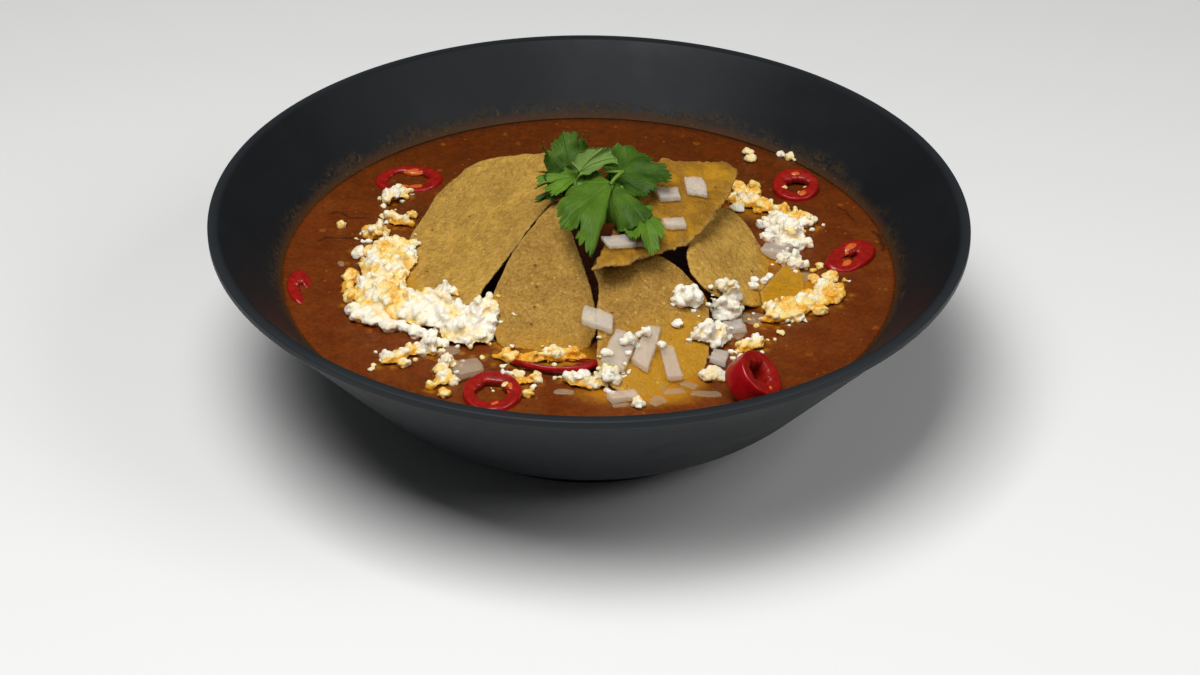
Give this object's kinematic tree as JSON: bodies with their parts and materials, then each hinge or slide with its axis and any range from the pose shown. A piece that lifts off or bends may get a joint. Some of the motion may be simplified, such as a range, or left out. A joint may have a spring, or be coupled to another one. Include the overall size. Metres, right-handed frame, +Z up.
{
  "type": "bowl of soup",
  "caption": "Wide coupe bowl of thick red chilli soup with leaning corn chips, crumbled white cheese, chopped onion, chilli slices and coriander leaves",
  "frame": {"origin": "middle of the flat foot ring's underside, on the surface the bowl stands on", "axes": "+Z up out of the bowl, +X to the right and -Y towards the viewer of the picture"},
  "size_m": [0.22, 0.22, 0.0826],
  "materials": {
    "bowl": "matt black glaze with a soft sheen",
    "soup": "thick, wet, with orange oil on it",
    "chip": "dry toasted corn, speckled, oily on the top one",
    "chilli": "wet glossy skin, paler flesh",
    "onion": "moist and slightly see-through",
    "cheese": "crumbly, matt, stained orange where it meets the soup",
    "leaf": "fresh leaf with a soft sheen, paler below"
  },
  "bodies": {
    "root": {"bowl": "bowl", "broth": "soup", "chip_left": "chip", "chip_front_left": "chip", "chip_top": "chip", "chip_front": "chip", "chip_right": "chip", "chip_wet": "chip", "chilli_back_right": "chilli", "chilli_right": "chilli", "chilli_front_right": "chilli", "chilli_front_left": "chilli", "chilli_thin": "chilli", "chilli_left": "chilli", "chilli_back_left": "chilli", "onion_top_back": "onion", "onion_top_middle": "onion", "onion_top_front": "onion", "onion_top_edge": "onion", "onion_front_a": "onion", "onion_front_b": "onion", "onion_front_c": "onion", "onion_front_d": "onion", "onion_front_e": "onion", "onion_right": "onion", "onion_by_cheese": "onion", "onion_round": "onion", "onion_left_green": "onion", "cheese_left": "cheese", "cheese_far_left": "cheese", "cheese_left_high": "cheese", "cheese_on_slice": "cheese", "cheese_front_left": "cheese", "cheese_near_rim": "cheese", "cheese_foot": "cheese", "cheese_front": "cheese", "cheese_middle": "cheese", "cheese_chip_left": "cheese", "cheese_chip_right": "cheese", "cheese_chip_front": "cheese", "cheese_back_right": "cheese", "cheese_right": "cheese", "cheese_right_low": "cheese", "cheese_far_right": "cheese", "cheese_by_chilli": "cheese", "leaf_front": "leaf", "leaf_rolled": "leaf", "leaf_right": "leaf", "leaf_left": "leaf", "leaf_left_low": "leaf", "leaf_standing": "leaf", "leaf_pale": "leaf", "leaf_back": "leaf"}
  },
  "joints": []
}
